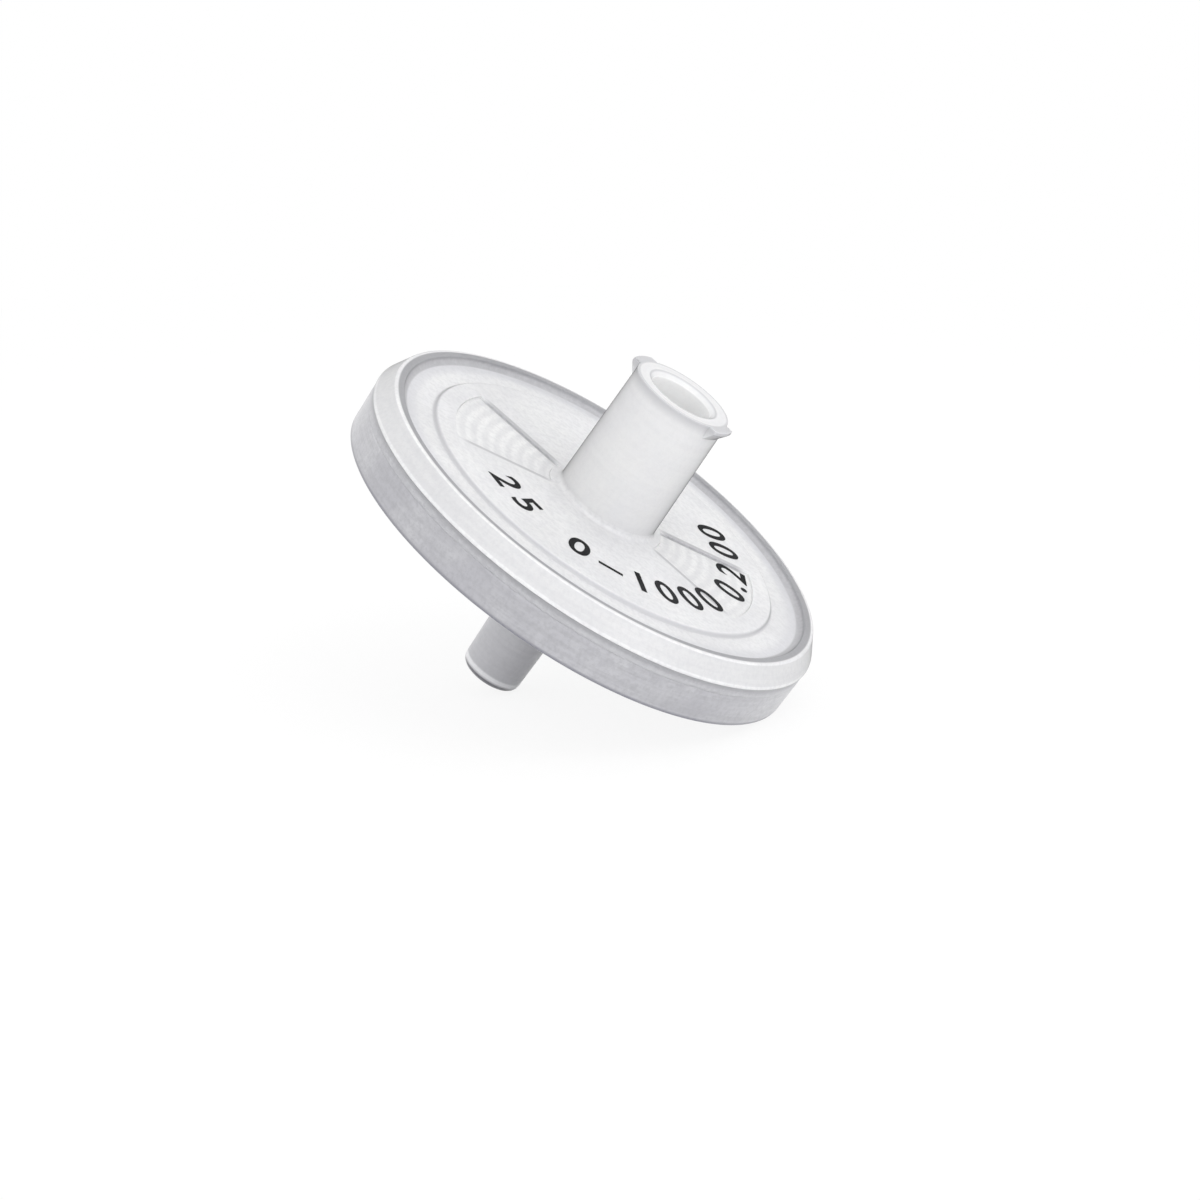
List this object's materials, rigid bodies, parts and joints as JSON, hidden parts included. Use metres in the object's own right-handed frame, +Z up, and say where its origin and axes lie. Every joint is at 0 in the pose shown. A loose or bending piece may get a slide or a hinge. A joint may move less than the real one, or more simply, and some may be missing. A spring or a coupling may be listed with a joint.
{
  "type": "syringe filter",
  "caption": "Disc syringe filter of translucent polypropylene with a female luer lock inlet, a male luer slip outlet and a membrane welded inside, lying at rest.",
  "frame": {"origin": "middle of the bounding box, on the floor that the filter lies on", "axes": "+Z up from the floor; the inlet leans from upright towards +X by 33.7 degrees, with the outlet tip and the foot of the rim on the floor; +Y across the lean"},
  "size_m": [0.029, 0.0328, 0.0223],
  "materials": {
    "polypropylene": "satin, translucent natural polypropylene",
    "membrane": "matt white nylon membrane",
    "print_ink": "black marking ink"
  },
  "bodies": {
    "root": {"inlet_housing": "polypropylene", "outlet_housing": "polypropylene", "membrane": "membrane"}
  },
  "joints": []
}
